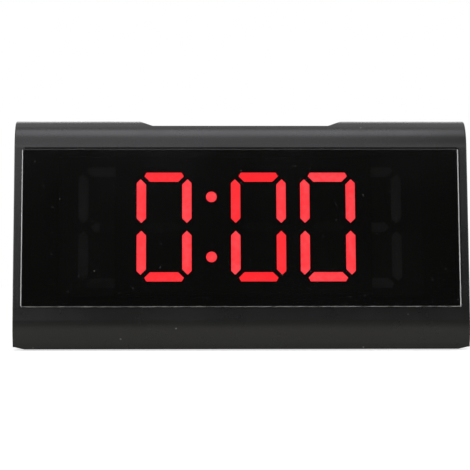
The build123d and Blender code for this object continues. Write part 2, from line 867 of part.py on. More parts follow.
# Two cells, side by side and the opposite way round, between stamped contacts
cell_depth = cover_thickness + bay_depth - cell_fit - cell_radius
cell_rows = (bay_middle + cell_spacing / 2, bay_middle - cell_spacing / 2)
cell_directions = (1, -1)
with BuildPart() as battery_cells:
    for cell_row, direction in zip(cell_rows, cell_directions):
        cell_plane = Plane(
            origin=back_plane.from_local_coords((-direction * cell_length / 2, cell_row, -cell_depth)),
            x_dir=back_plane.y_dir,
            z_dir=back_plane.x_dir * direction,
        )
        with BuildSketch(cell_plane):
            Circle(cell_radius)
        extrude(amount=cell_length - cell_nub_length)
        with BuildSketch(cell_plane):
            Circle(cell_nub_radius)
        extrude(amount=cell_length)
save(battery_cells, "battery_cells")

bay_end = bay_length / 2
bow_room = contact_room - 1.5 * contact_thickness - cell_fit
contact_plane = back_plane.offset(-cell_depth + contact_width / 2)


def plate_point(side, row):
    """The middle of a contact's plate, against one end of the bay."""
    return (side * (bay_end - contact_thickness / 2), row)


def bow_points(side, row, chord):
    """The ends and the crown of the bow that presses on a cell, as long as its chord."""
    plate_face = side * (bay_end - contact_thickness)
    crown = plate_face - side * bow_room
    return ((plate_face, row - chord / 2), (crown, row), (plate_face, row + chord / 2))


with BuildPart() as positive_contact:
    with BuildSketch(contact_plane):
        with Locations(plate_point(1, cell_rows[0])):
            Rectangle(contact_thickness, contact_height)
        with BuildLine():
            ThreePointArc(*bow_points(1, cell_rows[0], bump_height))
        trace(line_width=contact_thickness)
    extrude(amount=-contact_width)
save(positive_contact, "positive_contact")

with BuildPart() as negative_contact:
    with BuildSketch(contact_plane):
        with Locations(plate_point(1, cell_rows[1])):
            Rectangle(contact_thickness, contact_height)
        with BuildLine():
            ThreePointArc(*bow_points(1, cell_rows[1], contact_width))
        trace(line_width=contact_thickness)
    extrude(amount=-contact_width)
save(negative_contact, "negative_contact")

with BuildPart() as bridge_contact:
    with BuildSketch(contact_plane):
        with Locations(plate_point(-1, bay_middle)):
            Rectangle(contact_thickness, contact_height + cell_spacing)
        with BuildLine():
            ThreePointArc(*bow_points(-1, cell_rows[0], contact_width))
        trace(line_width=contact_thickness)
        with BuildLine():
            ThreePointArc(*bow_points(-1, cell_rows[1], bump_height))
        trace(line_width=contact_thickness)
    extrude(amount=-contact_width)
save(bridge_contact, "bridge_contact")

# Control board behind the row of keys
control_middle = (0, (control_board_high + control_board_low) / 2)
control_board_height = control_board_high - control_board_low
control_plane = back_plane.offset(-control_board_top)
with BuildPart() as control_board:
    with BuildSketch(control_plane):
        with Locations(control_middle):
            Rectangle(control_board_width, control_board_height)
        with Locations(*control_boss_points):
            Circle(board_screw_radius + pilot_fit, mode=Mode.SUBTRACT)
    extrude(amount=-board_thickness)
save(control_board, "control_board")

control_rear = Plane(
    origin=back_plane.from_local_coords((0, 0, -control_board_front)),
    x_dir=-back_plane.x_dir,
    z_dir=-back_plane.z_dir,
)
control_board_screws = screw_set(
    control_rear,
    [(-x, y) for x, y in control_boss_points],
    board_screw_radius,
    board_screw_length,
    board_screw_head_radius,
    board_screw_head_height,
)
save(control_board_screws, "control_board_screws")

# Keys, each a flanged cap with a plunger that dips into its switch
for key_name, key_place in zip(key_names, key_places):
    with BuildPart() as key:
        with BuildSketch(cover_inside):
            with Locations(key_place):
                SlotOverall(key_length + 2 * key_flange, key_width + 2 * key_flange)
        extrude(amount=-key_flange_thickness)
        with BuildSketch(cover_inside):
            with Locations(key_place):
                SlotOverall(key_length, key_width)
        extrude(amount=cover_thickness + key_proud)
        chamfer(key.faces().sort_by(back_axis)[-1].edges(), key_edge)
    save(key, key_name)

    with BuildPart() as plunger:
        with BuildSketch(back_plane.offset(-key_flange_front)):
            with Locations(key_place):
                Circle(plunger_radius)
        extrude(amount=-plunger_stand - plunger_reach)
    save(plunger, key_name.replace("button", "plunger"))

with BuildPart() as key_switches:
    with BuildSketch(control_plane):
        with Locations(*key_places):
            Rectangle(switch_size, switch_size)
    extrude(amount=switch_height)
    with BuildSketch(back_plane.offset(-switch_back)):
        with Locations(*key_places):
            Circle(plunger_radius + plunger_fit)
    extrude(amount=-plunger_reach - key_travel - plunger_fit, mode=Mode.SUBTRACT)
save(key_switches, "key_switches")

# Slide switch that arms the alarm, drawn with its knob at one end of its slot
slider_top = cover_thickness + slider_body_gap
channel_length = slider_body_length - 2 * slider_body_wall
channel_width = slider_body_width - 2 * slider_body_wall
shoe_length = channel_length - slider_travel - 2 * slider_fit
shoe_width = channel_width - 2 * slider_fit
knob_point = (slider_place - slider_travel / 2, key_row)
with BuildPart() as alarm_switch_body:
    with BuildSketch(control_plane):
        with Locations((slider_place, key_row)):
            Rectangle(slider_body_length, slider_body_width)
    extrude(amount=control_board_top - slider_top)
    with BuildSketch(back_plane.offset(-slider_top)):
        with Locations((slider_place, key_row)):
            Rectangle(channel_length, channel_width)
    extrude(amount=-slider_shoe_thickness - slider_fit, mode=Mode.SUBTRACT)
save(alarm_switch_body, "alarm_switch_body")

with BuildPart() as alarm_switch_knob:
    with BuildSketch(back_plane.offset(-slider_top)):
        with Locations(knob_point):
            Rectangle(shoe_length, shoe_width)
    extrude(amount=-slider_shoe_thickness)
    with BuildSketch(back_plane.offset(-slider_top)):
        with Locations(knob_point):
            Rectangle(slider_knob_length, slider_knob_width)
    extrude(amount=slider_top + slider_proud)
save(alarm_switch_knob, "alarm_switch_knob")

# Power inlet: a round socket with a centre pin, standing on the control board
inlet_point = (jack_place, key_row)
with BuildPart() as power_inlet:
    with BuildSketch(control_plane):
        with Locations(inlet_point):
            Rectangle(jack_base, jack_base)
    extrude(amount=jack_base_height)
    with BuildSketch(control_plane):
        with Locations(inlet_point):
            Circle(jack_radius)
    extrude(amount=control_board_top)
    with BuildSketch(back_plane):
        with Locations(inlet_point):
            Circle(jack_bore_radius)
    extrude(amount=jack_floor - control_board_top, mode=Mode.SUBTRACT)
    with BuildSketch(back_plane):
        with Locations(inlet_point):
            Circle(jack_pin_radius)
    extrude(amount=-control_board_top, mode=Mode.SUBTRACT)
save(power_inlet, "power_inlet")

with BuildPart() as inlet_pin:
    with BuildSketch(control_plane):
        with Locations(inlet_point):
            Circle(jack_pin_radius)
    extrude(amount=control_board_top - jack_pin_recess)
    chamfer(inlet_pin.faces().sort_by(back_axis)[-1].edges(), jack_pin_radius / 3)
save(inlet_pin, "inlet_pin")

# Buzzer behind the ring of sound holes
buzzer_back = cover_thickness + buzzer_gap
with BuildPart() as buzzer:
    with BuildSketch(control_plane):
        with Locations((buzzer_place, key_row)):
            Circle(buzzer_radius)
    extrude(amount=control_board_top - buzzer_back)
    with BuildSketch(back_plane.offset(-buzzer_back)):
        with Locations((buzzer_place, key_row)):
            Circle(buzzer_port_radius)
    extrude(amount=-buzzer_port_depth, mode=Mode.SUBTRACT)
save(buzzer, "buzzer")

# Snooze bar, let into the floor of the scoop, with its plunger, switch and board
snooze_point = (0, crest_y)
with BuildPart() as snooze_bar:
    with BuildSketch(Plane.XY.offset(roof_z)):
        with Locations(snooze_point):
            SlotOverall(snooze_length + 2 * snooze_flange, snooze_width + 2 * snooze_flange)
    extrude(amount=-snooze_flange_thickness)
    with BuildSketch(Plane.XY.offset(roof_z)):
        with Locations(snooze_point):
            SlotOverall(snooze_length, snooze_width)
    extrude(amount=roof_thickness - snooze_drop)
    chamfer(snooze_bar.faces().sort_by(Axis.Z)[-1].edges(), snooze_edge)
save(snooze_bar, "snooze_bar")

with BuildPart() as snooze_plunger:
    with BuildSketch(Plane.XY.offset(snooze_flange_low)):
        with Locations(snooze_point):
            Circle(plunger_radius)
    extrude(amount=-plunger_stand - plunger_reach)
save(snooze_plunger, "snooze_plunger")

with BuildPart() as snooze_switch:
    with BuildSketch(Plane.XY.offset(snooze_board_top)):
        with Locations(snooze_point):
            Rectangle(switch_size, switch_size)
    extrude(amount=switch_height)
    with BuildSketch(Plane.XY.offset(snooze_switch_top)):
        with Locations(snooze_point):
            Circle(plunger_radius + plunger_fit)
    extrude(amount=-plunger_reach - snooze_travel - plunger_fit, mode=Mode.SUBTRACT)
save(snooze_switch, "snooze_switch")

snooze_boss_points = [(-snooze_boss_place, crest_y), (snooze_boss_place, crest_y)]
with BuildPart() as snooze_board:
    with BuildSketch(Plane.XY.offset(snooze_board_top)):
        with Locations(snooze_point):
            Rectangle(snooze_board_length, snooze_board_width)
        with Locations(*snooze_boss_points):
            Circle(board_screw_radius + pilot_fit, mode=Mode.SUBTRACT)
    extrude(amount=-board_thickness)
save(snooze_board, "snooze_board")

snooze_board_screws = screw_set(
    Plane(origin=(0, 0, snooze_board_top - board_thickness), x_dir=(1, 0, 0), z_dir=(0, 0, -1)),
    [(x, -y) for x, y in snooze_boss_points],
    board_screw_radius,
    board_screw_length,
    board_screw_head_radius,
    board_screw_head_height,
)
save(snooze_board_screws, "snooze_board_screws")

# Rubber feet
with BuildPart() as feet:
    with BuildSketch(Plane.XY):
        with Locations(*foot_places):
            Circle(foot_radius)
    extrude(amount=foot_gap + foot_sink)
save(feet, "feet")

# Ribbon from the control board to the main board
ribbon_top = back_plane.from_local_coords((0, ribbon_start, -control_board_front))
ribbon_low = main_board_rear.from_local_coords((0, ribbon_drop, 0))
ribbon_out = ribbon_top - back_plane.z_dir * ribbon_lead
ribbon_in = ribbon_low - main_board_rear.z_dir * ribbon_lead
with BuildPart() as ribbon_cable:
    with BuildSketch(Plane.YZ):
        with BuildLine():
            FilletPolyline(
                (ribbon_top.Y, ribbon_top.Z),
                (ribbon_out.Y, ribbon_out.Z),
                (ribbon_in.Y, ribbon_in.Z),
                (ribbon_low.Y, ribbon_low.Z),
                radius=ribbon_bend,
            )
        trace(line_width=ribbon_thickness)
    extrude(amount=ribbon_width / 2, both=True)
save(ribbon_cable, "ribbon_cable")
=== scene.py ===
import json
from math import cos, radians, sin

import bmesh
import bpy
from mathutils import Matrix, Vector


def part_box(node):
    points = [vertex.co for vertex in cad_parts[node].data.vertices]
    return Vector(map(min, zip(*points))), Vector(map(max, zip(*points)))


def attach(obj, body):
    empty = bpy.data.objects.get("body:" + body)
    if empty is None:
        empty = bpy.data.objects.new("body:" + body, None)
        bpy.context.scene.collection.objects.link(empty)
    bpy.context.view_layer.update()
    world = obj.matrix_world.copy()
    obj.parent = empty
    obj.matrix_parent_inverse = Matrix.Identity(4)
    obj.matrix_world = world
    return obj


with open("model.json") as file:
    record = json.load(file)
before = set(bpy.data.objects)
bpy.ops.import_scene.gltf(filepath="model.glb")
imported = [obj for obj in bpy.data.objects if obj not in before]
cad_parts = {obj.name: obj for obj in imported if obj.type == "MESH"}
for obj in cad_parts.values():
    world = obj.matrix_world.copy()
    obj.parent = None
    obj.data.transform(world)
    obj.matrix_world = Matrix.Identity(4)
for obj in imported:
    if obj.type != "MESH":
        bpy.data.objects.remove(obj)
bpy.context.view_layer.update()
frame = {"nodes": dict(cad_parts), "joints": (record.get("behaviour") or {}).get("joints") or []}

# Sizes that the looks share with the solids, in metres
MM = 0.001
FRONT_TILT = radians(13.0)
FRONT_NORMAL = (0.0, -cos(FRONT_TILT), sin(FRONT_TILT))
FRONT_UP = (0.0, sin(FRONT_TILT), cos(FRONT_TILT))
FRONT_POINT = (0.0, -16.276 * MM, 42.987 * MM)
LENS_HALF_WIDTH = 77.25 * MM
LENS_HALF_HEIGHT = 28.45 * MM
LENS_BACK = 1.7 * MM
LENS_CORNER = 1.0 * MM
DIGIT_PLACES = (-27.14 * MM, 6.13 * MM, 30.59 * MM)
DIGIT_WIDTH = 19.35 * MM
DIGIT_HEIGHT = 39.1 * MM
DIGIT_STROKE = 3.3 * MM
CELL_HALF = 22.25 * MM
FLAT_LIMIT = 0.01 * MM
press_axes = [Vector(joint["axis"]) for joint in frame["joints"] if joint["name"] == "set_press"]
BACK_NORMAL = -press_axes[0]
BACK_UP = Vector((0.0, -BACK_NORMAL.z, BACK_NORMAL.y))
lit_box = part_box("lit_segments")
colon_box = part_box("colon_dots")

# Black on the ledge behind the lens, and painted shade in a band along the lens's lower edge
LEDGE_SKIN = 0.1 * MM
LEDGE_REACH = 0.2 * MM
LEDGE_AND_PAINTED_SHADE_TONE = 0.001
LEDGE_ROUGHNESS = 0.08
SHADE_ABOVE = 4.0 * MM
SHADE_LINE = 0.6 * MM
SHADE_BELOW = 5.5 * MM

# Painted highlights along the edges of the lens: start, end and weight
LEFT_LINE = (-0.1 * MM, 0.3 * MM, 1.0)
RIGHT_LINE = (0.36 * MM, 0.7 * MM, 1.0)
LOW_LINE = (0.1 * MM, 0.34 * MM, 0.7)
HIGH_LINE = (0.05 * MM, 0.45 * MM, 0.1)
LINE_SOFTNESS = 0.03 * MM
EDGE_HIGHLIGHT_TONE = 0.95
LENS_ALPHA = 0.59
LENS_IOR = 1.49

# Dust, as cells per metre, reach of a speck in its cell, share of the cells and tone
PLASTIC_DUST_CELLS = 260.0
PLASTIC_DUST_REACH = 0.075
PLASTIC_DUST_TONE = 0.16
LENS_DUST = ((210.0, 0.05, 0.06, 0.075), (330.0, 0.07, 0.018, 0.12))

# Painted shade over the unlit strokes on the left: a round dark patch, and a dimmer foot
SHADE_PATCH_MIDDLE = (-25.0 * MM, 0.0, 0.0)
SHADE_PATCH_RADIUS = 24.9 * MM
SHADE_PATCH_TONE = 0.004
FOOT_LINE = -16.5 * MM
FOOT_COVER = 0.6

# Light of the digits: how pale the level strokes of each digit burn, and its upper left and lower right posts
LEVEL_PALENESS = (0.42, 0.14, 1.0)
FALLING_PALENESS = (1.0, 0.4, 1.0)
STROKE_FADE = DIGIT_STROKE * 1.6
DOT_FADE_SHARE = 2.4
DOT_PALENESS = 1.15
GLOW = 6.4
DEEP_RED = (1.0, 0.0145, 0.021, 1.0)
PALE_RED = (1.0, 0.066, 0.08, 1.0)
DEEP_TINT = (0.2, 0.004, 0.006, 1.0)
PALE_TINT = (0.32, 0.012, 0.016, 1.0)

# Screw heads, boards, cells and ribbon
RECESS_START = 0.1 * MM
RECESS_END = 0.35 * MM
RECESS_SHADE_TONE = 0.008
STREAK_STRETCH = (1.0, 1.0, 14.0)
TRACK_WAVES = (("X", 150.0), ("Z", 110.0))
TRACK_LIMIT = 0.72
BOARD_GREEN = (0.012, 0.075, 0.03, 1.0)
TRACK_GREEN = (0.03, 0.17, 0.07, 1.0)
SOLDER = (0.5, 0.5, 0.48, 1.0)
CELL_BAND = 8.0 * MM
CELL_BARE = 1.0 * MM
SLEEVE_DARK = (0.022, 0.032, 0.045, 1.0)
SLEEVE_LIGHT = (0.034, 0.046, 0.062, 1.0)
MARKED_CORE = 4.0 * MM
CORE_RED = (0.5, 0.05, 0.05, 1.0)

# Depth of the fine relief in metres
GRAIN_DEPTH = 0.00006
STREAK_DEPTH = 0.00004
TRACK_DEPTH = 0.00005
CORE_DEPTH = 0.0002

# Ridges: a dark line at the lens as painted shadow, and signs
BEAD_WIDTH = 0.44 * MM
BEAD_HEIGHT = 0.4 * MM
BEAD_ROOT = 0.08 * MM
BEAD_TOP_SHIFT = 0.24 * MM
BEAD_SIDE_SHIFT = 0.12 * MM
BEAD_STEPS = 6
SIGN_LINE = 0.42 * MM
SIGN_RISE = 0.24 * MM
SIGN_CUT = 0.28 * MM
DIAL_RADIUS = 1.45 * MM
DIAL_STEPS = 28

# Levels of light
KEY_POWER = 1.27
MID_POWER = 1.0
LOW_POWER = 0.43
STRIP_POWER = 0.11
REAR_TOP_POWER = 0.45
SIDE_POWER = 3.4
BACK_POWER = 1.6
ROOM_LEVEL = 0.08
LOW_FRONT_LEVEL = 0.44
HIGH_FRONT_LEVEL = 0.075
SWEEP_LEVEL = 0.6
FLOOR_TONE = 0.66
FLOOR_LIFT = 0.68

# Floor, room and camera
FLOOR_HALF = 20.0
FLOOR_FADE = (0.12, 0.4)
FLOOR_BOUNCE = (0.74, 0.74, 0.685, 1.0)
SWEEP_RISE = (0.05, 0.45)
FRONT_WALL_FALL = (0.06, 0.27)
WALL_TURN = (-0.05, 0.05)
WALL_TINT = (1.0, 1.0, 0.89, 1.0)
CAMERA_SENSOR = 36.0
CAMERA_LENS = 193.56
CAMERA_PLACE = (-0.020, -0.904, 0.070)
CAMERA_TARGET = (-0.0022, -0.016, 0.04032)

# Sockets of a mix node: its factor, its two colours and their blend
MIX_FACTOR = 0
MIX_FIRST = 6
MIX_SECOND = 7
MIX_RESULT = 2


# Node helpers

def fill(tree, socket, value):
    """Links a socket to another one, or sets its value."""
    if isinstance(value, bpy.types.NodeSocket):
        tree.links.new(value, socket)
    else:
        socket.default_value = value


def add_node(tree, kind, sockets=None, **settings):
    """Adds a shader node, sets its options and fills or links its inputs."""
    made = tree.nodes.new(kind)
    for name, value in settings.items():
        setattr(made, name, value)
    for name, value in (sockets or {}).items():
        fill(tree, made.inputs[name], value)
    return made


def math_node(tree, operation, first, second=0.0):
    """One arithmetic step, returned as its output socket."""
    return add_node(tree, "ShaderNodeMath", {0: first, 1: second}, operation=operation).outputs[0]


def noise(tree, place, scale, detail=4.0, roughness=0.55):
    """A noise field over a position, returned as its value socket."""
    sockets = {"Vector": place, "Scale": scale, "Detail": detail, "Roughness": roughness}
    return add_node(tree, "ShaderNodeTexNoise", sockets).outputs[0]


def spread(tree, value, low, high, start=0.3, stop=0.7):
    """Maps a field from start..stop onto low..high."""
    sockets = {"Value": value, "From Min": start, "From Max": stop, "To Min": low, "To Max": high}
    return add_node(tree, "ShaderNodeMapRange", sockets).outputs[0]


def vector_value(tree, operation, first, second=(0.0, 0.0, 0.0)):
    """A number worked out from one or two vectors, returned as its output socket."""
    step = add_node(tree, "ShaderNodeVectorMath", {0: first, 1: second}, operation=operation)
    return step.outputs["Value"]


def dot_product(tree, first, second):
    """The dot product of two vectors, returned as its value socket."""
    return vector_value(tree, "DOT_PRODUCT", first, second)


def offset_from(tree, place, point):
    """The vector from a point to a position."""
    return add_node(tree, "ShaderNodeVectorMath", {0: place, 1: point}, operation="SUBTRACT").outputs[0]


def flat_vector(tree, across, climb):
    """A vector in a plane from its two coordinates."""
    return add_node(tree, "ShaderNodeCombineXYZ", {"X": across, "Y": climb}).outputs[0]


def blend_colour(tree, factor, first, second):
    """Mixes two colours by a factor."""
    mixer = add_node(tree, "ShaderNodeMix", data_type="RGBA")
    for number, value in ((MIX_FACTOR, factor), (MIX_FIRST, first), (MIX_SECOND, second)):
        fill(tree, mixer.inputs[number], value)
    return mixer.outputs[MIX_RESULT]


def grey(level):
    """A neutral colour."""
    return (level, level, level, 1.0)


def parts_of(material):
    """A material's node tree, its shader and the object position."""
    tree = material.node_tree
    place = add_node(tree, "ShaderNodeTexCoord").outputs["Object"]
    return tree, tree.nodes["Principled BSDF"], place


def start_material(name):
    """A new material with its node tree, shader and object position."""
    material = bpy.data.materials.new(name)
    material.use_nodes = True
    return (material, *parts_of(material))


def paint_over(tree, shader, mask, colour):
    """Covers a material's colour with another one where a mask is full."""
    bare = shader.inputs["Base Color"].links[0].from_socket
    tree.links.new(blend_colour(tree, mask, bare, colour), shader.inputs["Base Color"])


def dust_mask(tree, place, scale, reach, share, dimensions="3D"):
    """Small scattered specks: one in a few cells carries a dot."""
    sockets = {"Vector": place, "Scale": scale, "Randomness": 1.0}
    cells = add_node(tree, "ShaderNodeTexVoronoi", sockets, voronoi_dimensions=dimensions)
    chance = add_node(tree, "ShaderNodeSeparateColor", {"Color": cells.outputs["Color"]}).outputs[0]
    near = math_node(tree, "LESS_THAN", cells.outputs["Distance"], reach)
    chosen = math_node(tree, "LESS_THAN", chance, share)
    return math_node(tree, "MULTIPLY", near, chosen)


def bump_from(tree, shader, height, strength, depth):
    """Turns a height field into surface relief."""
    relief = add_node(tree, "ShaderNodeBump", {"Strength": strength, "Distance": depth, "Height": height})
    tree.links.new(relief.outputs["Normal"], shader.inputs["Normal"])


def front_coordinates(tree, place):
    """How far a point lies along the tilted front, up it and out of it, from the lens's middle."""
    offset = offset_from(tree, place, FRONT_POINT)
    return [dot_product(tree, offset, axis) for axis in ((1.0, 0.0, 0.0), FRONT_UP, FRONT_NORMAL)]


def line_mask(tree, gap, start, stop, weight):
    """A line that runs between two distances from an edge, with soft sides."""
    risen = spread(tree, gap, 0.0, weight, start - LINE_SOFTNESS, start + LINE_SOFTNESS)
    fallen = spread(tree, gap, 1.0, 0.0, stop - LINE_SOFTNESS, stop + LINE_SOFTNESS)
    return math_node(tree, "MULTIPLY", risen, fallen)


def outer_rim(node, direction):
    """The corners of a node's outermost flat face along a direction."""
    corners = [corner.co for corner in frame["nodes"][node].data.vertices]
    reach = max(corner.dot(direction) for corner in corners)
    return [corner for corner in corners if corner.dot(direction) > reach - FLAT_LIMIT]


# Kinds of material

def moulded_plastic(name, dark, light, rough, grain=1400.0, relief=0.25, dust=0.0, tone=22.0, gloss=0.5):
    """Injection-moulded plastic: broad tone drift, fine grain and a few specks of dust."""
    material, tree, shader, place = start_material(name)
    shader.inputs["Specular IOR Level"].default_value = gloss
    drift = spread(tree, noise(tree, place, tone, detail=3.0), 0.0, 1.0)
    colour = blend_colour(tree, drift, dark, light)
    if dust:
        specks = dust_mask(tree, place, PLASTIC_DUST_CELLS, PLASTIC_DUST_REACH, dust)
        colour = blend_colour(tree, specks, colour, grey(PLASTIC_DUST_TONE))
    tree.links.new(colour, shader.inputs["Base Color"])
    fine = noise(tree, place, grain, detail=2.0)
    smear = noise(tree, place, tone * 3.0, detail=4.0)
    tree.links.new(spread(tree, smear, rough[0], rough[1]), shader.inputs["Roughness"])
    bump_from(tree, shader, fine, relief, GRAIN_DEPTH)
    return material


def case_plastic(name):
    """The case's plastic, with painted shade along the foot of the lens and black on the ledge behind it."""
    material = moulded_plastic(
        name, grey(0.004), grey(0.0065), (0.25, 0.31), grain=2200.0, relief=0.12, dust=0.13)
    tree, shader, place = parts_of(material)
    across, climb, depth = front_coordinates(tree, place)
    ledge = math_node(tree, "LESS_THAN", depth, -LENS_BACK + LEDGE_SKIN)
    for distance, half in ((across, LENS_HALF_WIDTH), (climb, LENS_HALF_HEIGHT)):
        within = math_node(tree, "LESS_THAN", math_node(tree, "ABSOLUTE", distance), half + LEDGE_REACH)
        ledge = math_node(tree, "MULTIPLY", ledge, within)
    # Painted shade: the colour is darkened in a band just below the lens's lower edge.
    below = math_node(tree, "SUBTRACT", -LENS_HALF_HEIGHT, climb)
    darker = spread(tree, below, 0.0, 1.0, -SHADE_ABOVE, SHADE_LINE)
    paler = spread(tree, below, 1.0, 0.0, SHADE_LINE, SHADE_BELOW)
    shade = math_node(tree, "MULTIPLY", darker, paler)
    paint_over(tree, shader, math_node(tree, "MAXIMUM", ledge, shade), grey(LEDGE_AND_PAINTED_SHADE_TONE))
    satin = shader.inputs["Roughness"].links[0].from_socket
    tree.links.new(spread(tree, ledge, satin, LEDGE_ROUGHNESS, 0.0, 1.0), shader.inputs["Roughness"])
    return material


def blind_strokes(name):
    """Milky unlit strokes; painted shade darkens a round patch at the inner end of the left digit and dims
    that digit's foot.
    """
    material = moulded_plastic(name, grey(0.09), grey(0.14), (0.6, 0.75), grain=600.0, relief=0.2, tone=70.0)
    tree, shader, place = parts_of(material)
    across, climb, _ = front_coordinates(tree, place)
    away = vector_value(tree, "DISTANCE", flat_vector(tree, across, climb), SHADE_PATCH_MIDDLE)
    # Painted shade: the unlit strokes are darkened in a round patch and, on the left digit, along the foot.
    shade_patch = math_node(tree, "LESS_THAN", away, SHADE_PATCH_RADIUS)
    left = math_node(tree, "LESS_THAN", across, 0.0)
    foot = math_node(tree, "MULTIPLY", left, math_node(tree, "LESS_THAN", climb, FOOT_LINE))
    cover = math_node(tree, "MAXIMUM", shade_patch, math_node(tree, "MULTIPLY", foot, FOOT_COVER))
    paint_over(tree, shader, cover, grey(SHADE_PATCH_TONE))
    return material


def plated_metal(name, dark, light, rough):
    """Plated metal with fine drawn streaks."""
    material, tree, shader, place = start_material(name)
    drawn = add_node(tree, "ShaderNodeMapping", {"Vector": place, "Scale": STREAK_STRETCH}).outputs[0]
    streaks = noise(tree, drawn, 420.0, detail=5.0, roughness=0.65)
    stain = noise(tree, place, 90.0, detail=3.0)
    colour = blend_colour(tree, spread(tree, stain, 0.0, 1.0), dark, light)
    tree.links.new(colour, shader.inputs["Base Color"])
    tree.links.new(spread(tree, streaks, rough[0], rough[1]), shader.inputs["Roughness"])
    shader.inputs["Metallic"].default_value = 1.0
    bump_from(tree, shader, streaks, strength=0.12, depth=STREAK_DEPTH)
    return material


def screw_heads(name):
    """Plated screw heads with painted shade inside the cross recess."""
    material = plated_metal(name, grey(0.16), grey(0.24), (0.28, 0.46))
    tree, shader, place = parts_of(material)
    top = outer_rim("case_screws", BACK_NORMAL)[0].dot(BACK_NORMAL)
    sunk = math_node(tree, "SUBTRACT", top, dot_product(tree, place, BACK_NORMAL))
    # Painted shade: the colour darkens with depth inside the cross recess.
    paint_over(tree, shader, spread(tree, sunk, 0.0, 1.0, RECESS_START, RECESS_END), grey(RECESS_SHADE_TONE))
    return material


def circuit_board(name):
    """Green board: darker bare base, paler runs of track in both directions and dots of solder."""
    material, tree, shader, place = start_material(name)
    runs = []
    for direction, scale in TRACK_WAVES:
        sockets = {"Vector": place, "Scale": scale, "Distortion": 6.0, "Detail": 1.0, "Detail Scale": 0.6}
        wave = add_node(tree, "ShaderNodeTexWave", sockets, bands_direction=direction)
        runs.append(math_node(tree, "GREATER_THAN", wave.outputs["Fac"], TRACK_LIMIT))
    patches = math_node(tree, "GREATER_THAN", noise(tree, place, 70.0, detail=1.0), 0.5)
    first = math_node(tree, "MULTIPLY", runs[0], patches)
    second = math_node(tree, "MULTIPLY", runs[1], math_node(tree, "SUBTRACT", 1.0, patches))
    tracks = math_node(tree, "MAXIMUM", first, second)
    colour = blend_colour(tree, tracks, BOARD_GREEN, TRACK_GREEN)
    solder = dust_mask(tree, place, scale=210.0, reach=0.2, share=0.35)
    colour = blend_colour(tree, solder, colour, SOLDER)
    tree.links.new(colour, shader.inputs["Base Color"])
    tree.links.new(spread(tree, noise(tree, place, 60.0), 0.28, 0.45), shader.inputs["Roughness"])
    bump_from(tree, shader, math_node(tree, "ADD", tracks, solder), strength=0.3, depth=TRACK_DEPTH)
    return material


def smoked_lens(name):
    """Smoked acrylic: see-through black face, specks of dust, and painted highlights along its edges."""
    material, tree, shader, place = start_material(name)
    across, climb, depth = front_coordinates(tree, place)
    left = math_node(tree, "ADD", across, LENS_HALF_WIDTH)
    right = math_node(tree, "SUBTRACT", LENS_HALF_WIDTH, across)
    low = math_node(tree, "ADD", climb, LENS_HALF_HEIGHT)
    high = math_node(tree, "SUBTRACT", LENS_HALF_HEIGHT, climb)
    highlight_flicker = spread(tree, noise(tree, place, 500.0, detail=3.0), 0.8, 1.0)
    highlight_breaks = spread(tree, noise(tree, place, 320.0, detail=4.0), 0.3, 1.0, 0.35, 0.65)
    # Painted highlights: the colour turns pale in thin lines along the lens's edges, broken up by noise.
    left_edge = line_mask(tree, left, *LEFT_LINE)
    right_edge = line_mask(tree, right, *RIGHT_LINE)
    low_edge = math_node(tree, "MULTIPLY", line_mask(tree, low, *LOW_LINE), highlight_breaks)
    high_edge = line_mask(tree, high, *HIGH_LINE)
    sides = math_node(tree, "MAXIMUM", left_edge, right_edge)
    ends = math_node(tree, "MAXIMUM", low_edge, high_edge)
    edge_highlight = math_node(tree, "MULTIPLY", math_node(tree, "MAXIMUM", sides, ends), highlight_flicker)
    haze = spread(tree, noise(tree, place, 30.0, detail=5.0), 0.0, 1.0)
    face = blend_colour(tree, haze, grey(0.0012), grey(0.003))
    flat_place = flat_vector(tree, across, climb)
    outside = math_node(tree, "GREATER_THAN", depth, 0.0)
    for scale, reach, share, tone in LENS_DUST:
        specks = math_node(tree, "MULTIPLY", dust_mask(tree, flat_place, scale, reach, share, "2D"), outside)
        face = blend_colour(tree, specks, face, grey(tone))
    tree.links.new(blend_colour(tree, edge_highlight, face, grey(EDGE_HIGHLIGHT_TONE)), shader.inputs["Base Color"])
    smooth = spread(tree, noise(tree, place, 45.0, detail=5.0), 0.05, 0.11)
    facing = add_node(tree, "ShaderNodeNewGeometry").outputs["Normal"]
    slant = math_node(tree, "SUBTRACT", 1.0, dot_product(tree, facing, FRONT_NORMAL))
    edge = spread(tree, slant, 0.0, 0.35, 0.1, 0.25)
    tree.links.new(math_node(tree, "ADD", smooth, edge), shader.inputs["Roughness"])
    shader.inputs["IOR"].default_value = LENS_IOR
    shader.inputs["Alpha"].default_value = LENS_ALPHA
    return material


def by_digit(tree, along, values):
    """The value that belongs to the digit at a place along the display."""
    value = values[0]
    for number in range(1, len(values)):
        border = (DIGIT_PLACES[number - 1] + DIGIT_PLACES[number]) / 2
        beyond = math_node(tree, "GREATER_THAN", along, border)
        step = math_node(tree, "MULTIPLY", beyond, values[number] - values[number - 1])
        value = math_node(tree, "ADD", value, step)
    return value


def climb_from(tree, height, box):
    """How far a height lies up the tilted front from the middle of a node's box."""
    above = math_node(tree, "SUBTRACT", height, (box[0][2] + box[1][2]) / 2)
    return math_node(tree, "DIVIDE", above, cos(FRONT_TILT))


def red_glow(tree, shader, place, core):
    """Lights a red diffuser from behind, paler towards its core."""
    cloud = spread(tree, noise(tree, place, 75.0, detail=2.0), 0.6, 1.0)
    mottle = spread(tree, noise(tree, place, 620.0, detail=2.0), 0.65, 1.35)
    warmth = math_node(tree, "MULTIPLY", core, math_node(tree, "MULTIPLY", cloud, mottle))
    tree.links.new(blend_colour(tree, warmth, DEEP_RED, PALE_RED), shader.inputs["Emission Color"])
    shader.inputs["Emission Strength"].default_value = GLOW
    # Painted light: the base colour is also paler towards the glowing core.
    tree.links.new(blend_colour(tree, core, DEEP_TINT, PALE_TINT), shader.inputs["Base Color"])
    shader.inputs["Roughness"].default_value = 0.5


